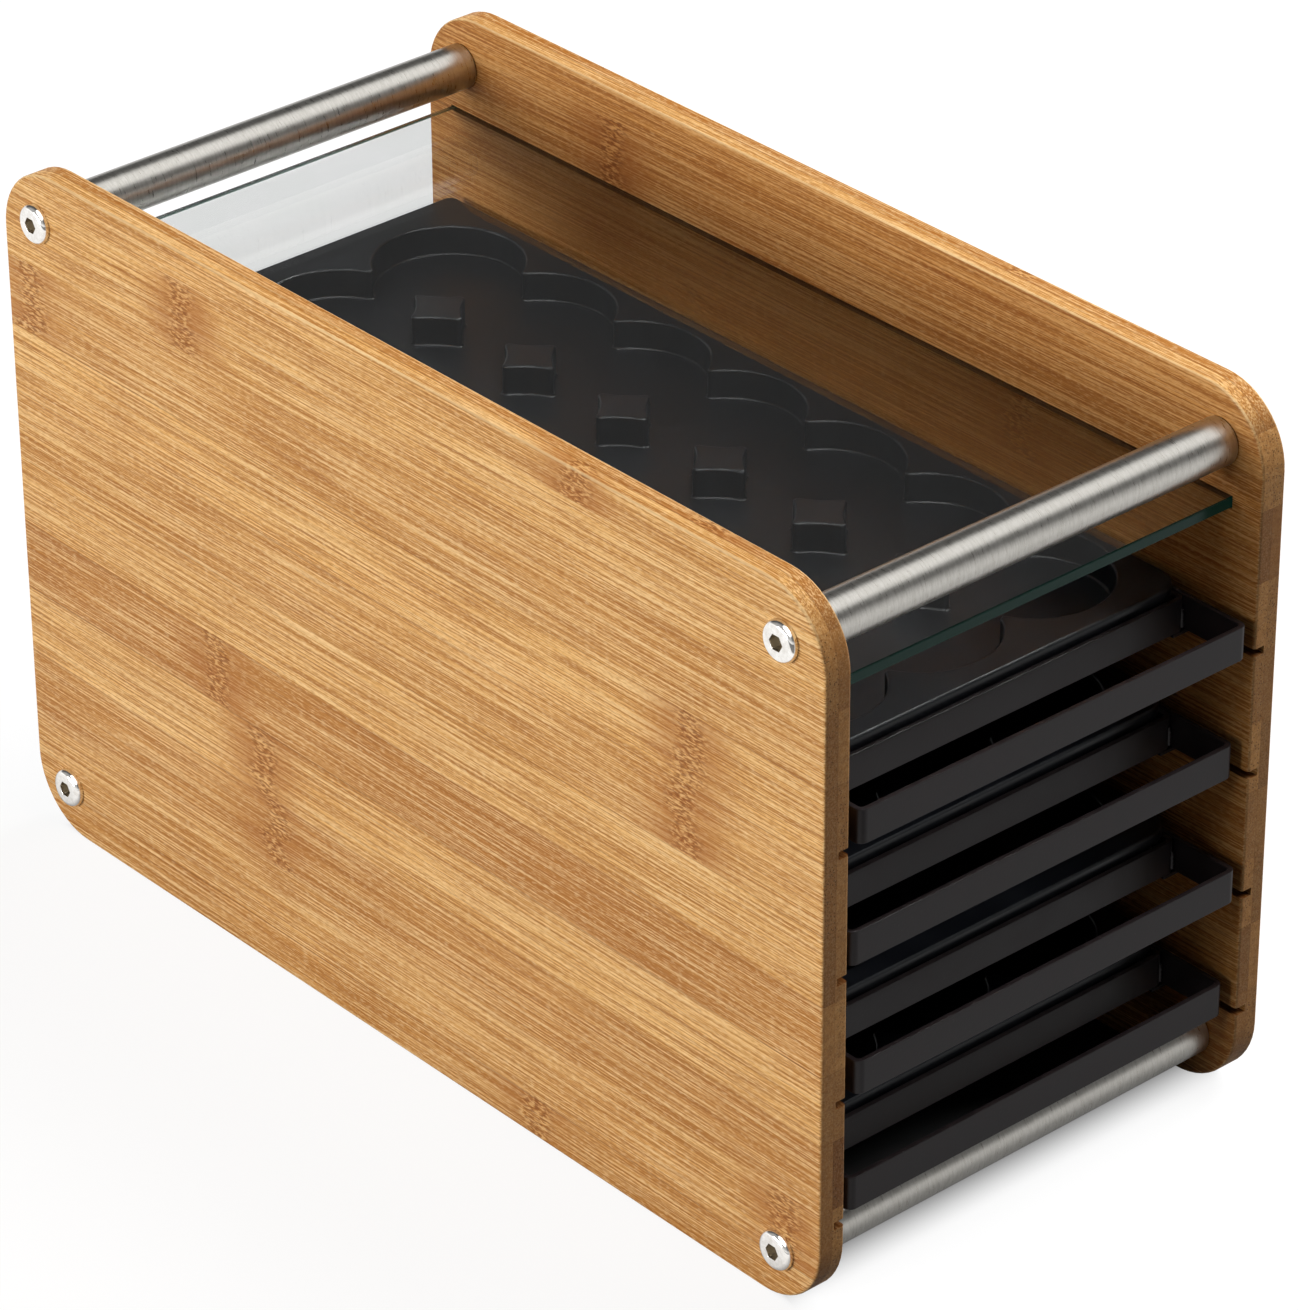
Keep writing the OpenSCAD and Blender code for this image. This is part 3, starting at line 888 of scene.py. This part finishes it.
def weld(side):
    """The bead at one end of the first drawer's cross bar: side is 1 for the right and -1 for the left."""
    drops = []
    for n in range(DROPS):
        bpy.ops.object.select_all(action="DESELECT")
        aside = wobble * (-1) ** n
        bpy.ops.mesh.primitive_uv_sphere_add(
            segments=16, ring_count=10, radius=drop_r,
            location=(side * (bar_high.x - into_bend + aside), bar_low.y + into_bend - aside,
                      bar_low.z + mm(first_up + drop_gap * n)))
        drops.append(bpy.context.object)
    for drop in drops:
        drop.select_set(True)
    bpy.ops.object.join()
    obj = bpy.context.object
    bpy.ops.object.transform_apply(location=True, rotation=True, scale=True)
    obj.name = obj.data.name = "drawer_1_weld_" + ("right" if side > 0 else "left")
    apply(obj, "REMESH", mode="VOXEL", voxel_size=mm(0.18))
    apply(obj, "SMOOTH", factor=0.5, iterations=7)
    only(obj)
    bpy.ops.object.shade_smooth()
    return obj


welds = {side: weld(side) for side in (1, -1)}
print("weld beads", [len(o.data.polygons) for o in welds.values()], "faces")

# %% [markdown]
# All four drawers are alike, so each piece is copied from the first drawer with a mesh of its own, moved by
# the difference between the drawers' places, and set to ride on its own drawer.

# %% Four drawers
pieces = {
    "handle": (handle, "frame", coat, "black_steel"),
    "cross_bar_strip": (cross_bar, "cross_bar", coat, "black_steel"),
    "runner_strip_left": (runners["left"], "runner_left", coat, "black_steel"),
    "runner_strip_right": (runners["right"], "runner_right", coat, "black_steel"),
    "seat_tray": (tray, "pod_tray", plastic, "black_plastic"),
    "weld_left": (welds[-1], None, coat, "black_steel"),
    "weld_right": (welds[1], None, coat, "black_steel"),
}
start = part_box("drawer_1_frame")[0]
for number in range(1, 5):
    body = f"drawer_{number}"
    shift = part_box(body + "_frame")[0] - start
    for label, (first, node, material, slot) in pieces.items():
        if number == 1:
            obj = first
        else:
            obj = first.copy()
            obj.data = first.data.copy()
            obj.name = obj.data.name = f"{body}_{label}"
            bpy.context.scene.collection.objects.link(obj)
            obj.data.transform(Matrix.Translation(shift))
        dress(obj, material)
        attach(obj, body)
        if node:
            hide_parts(f"{body}_{node}")
    print(body, "moved by", tuple(round(v * 1000, 1) for v in shift), "mm")

# %% [markdown]
# The object stands on a plain pale floor. Paper would throw its light back up, and the undersides would
# glow, so the floor is grey to the lamps and only shows white: to the camera, and to metal and glass that
# send the camera's ray straight on. Under the stand its glow is painted off, fading in beyond the footprint
# as a painted shadow, and the stand's real shadow is kept as well. What metal mirrors of it has painted
# shade near the stand, and is bright on the left, except far in front.

# %% Floor
bpy.ops.object.select_all(action="DESELECT")
bpy.ops.mesh.primitive_plane_add(size=8, location=(0, 0, 0))
floor = bpy.context.object
floor.name = "floor"


def seen_ray(tree):
    """One for a ray from the camera, also when gloss or glass has sent it on, and nothing for the rest."""
    ray = put(tree, "ShaderNodeLightPath").outputs
    sent_on = calc(tree, "MAXIMUM", ray["Is Glossy Ray"], ray["Is Transmission Ray"])
    straight = calc(tree, "LESS_THAN", ray["Diffuse Depth"], 0.5)
    return calc(tree, "MAXIMUM", ray["Is Camera Ray"], product(tree, sent_on, straight))


def in_metal(tree, value):
    """A value for mirrored rays, and one for every other ray."""
    return chosen(tree, put(tree, "ShaderNodeLightPath").outputs["Is Glossy Ray"], 1.0, value)


paper, tree, shader, point = new_material("pale paper")
shader.inputs["Base Color"].default_value = (0.14, 0.14, 0.14, 1)
shader.inputs["Roughness"].default_value = 0.9
shader.inputs["Specular IOR Level"].default_value = 0.0
x, y, z = parts(tree, point)
from_side, from_end = away(tree, x), away(tree, y)
# Painted shadow: the glow is off under the stand and fades in beyond it.
glow_outside_painted_shadow = calc(tree, "MAXIMUM", spread(tree, from_side, mm(69.5), mm(77)),
                  spread(tree, from_end, mm(131), mm(152)))
beyond = calc(tree, "MAXIMUM", calc(tree, "SUBTRACT", from_side, mm(66)),
              calc(tree, "SUBTRACT", from_end, mm(140)))
# Painted shade near the stand, in what metal mirrors of the floor.
mirrored = total(tree, spread(tree, beyond, mm(12), mm(60), 0.22, 0.60),
                 spread(tree, beyond, mm(150), mm(300), 0.0, 0.24))
on_left = spread(tree, x, mm(-70), mm(-100))
in_front = spread(tree, y, mm(-300), mm(-360))
mirrored = chosen(tree, on_left, mirrored, calc(tree, "SUBTRACT", 1.08, product(tree, in_front, 0.95)))
brightness = product(tree, seen_ray(tree), glow_outside_painted_shadow, in_metal(tree, mirrored), 0.9)
glow = put(tree, "ShaderNodeEmission", {0: (1, 1, 1, 1), 1: brightness})
added = put(tree, "ShaderNodeAddShader", {0: shader.outputs[0], 1: glow.outputs[0]})
tree.links.new(added.outputs[0], tree.nodes["Material Output"].inputs["Surface"])
dress(floor, paper)
print("floor ready")

# %% [markdown]
# The studio's walls are pale near the floor and dim above, so that the glass shelf stays clear when it is
# seen at a slant. They are paler at the left, and light next to nothing. Two bright patches on them are
# there for the metal and the plastic: one high at the right, for the band that runs along each rod, and one
# overhead at the left, which draws the thin lines of light on the rims of the seats.

# %% Studio walls
world = bpy.data.worlds.new("studio")
world.use_nodes = True
bpy.context.scene.world = world
tree = world.node_tree
direction = put(tree, "ShaderNodeTexCoord").outputs["Generated"]
to_right, to_rear, to_sky = parts(tree, direction)
wall = product(tree, spread(tree, to_sky, 0.04, 0.29, 1.0, 0.10),
               in_metal(tree, spread(tree, to_rear, 0.3, -0.3, 1.0, 0.62)))
wall = total(tree, wall, spread(tree, to_rear, -0.25, -0.65, 0.0, 0.10),
             product(tree, spread(tree, to_right, -0.15, -0.6), 0.35))
for towards, edge_at, full_at, strength in (
    ((0.47, -0.15, 0.87), 0.84, 0.95, 1.35),
    ((-0.30, -0.36, 0.88), 0.83, 0.93, 4.2),
):
    nearness = put(tree, "ShaderNodeVectorMath", {0: direction, 1: towards}, operation="DOT_PRODUCT")
    wall = total(tree, wall, spread(tree, nearness.outputs["Value"], edge_at, full_at, 0.0, strength))
background = tree.nodes["Background"]
background.inputs["Color"].default_value = (1, 1, 1, 1)
tree.links.new(chosen(tree, seen_ray(tree), 0.015, wall), background.inputs["Strength"])
print("studio walls ready")

# %% [markdown]
# Two soft lamps do the lighting. A panel at the left, low enough to light the long board evenly, leaves the
# inside of the other board in shade. A larger one hangs high at the right and lights the top edges. As a
# lamp it would burn white lines into the rods, so it is kept out of reflections, and the patch on the wall
# stands for it there.

# %% Lamps
def softbox(name, place, size, power, target=(0, 0, 0.1)):
    """A square soft light, aimed at a point."""
    data = bpy.data.lights.new(name, "AREA")
    data.shape, data.size, data.size_y, data.energy = "RECTANGLE", size[0], size[1], power
    lamp = bpy.data.objects.new(name, data)
    lamp.location = place
    lamp.rotation_euler = (Vector(target) - Vector(place)).to_track_quat("-Z", "Y").to_euler()
    bpy.context.scene.collection.objects.link(lamp)
    return lamp


softbox("left_panel", (-2.0, 0.35, 0.50), (1.5, 0.65), 42)
high_panel = softbox("high_panel", (1.15, -0.35, 1.55), (1.6, 1.6), 60)
high_panel.visible_glossy = False
print("two lamps, the larger one", high_panel.data.size, "m across")
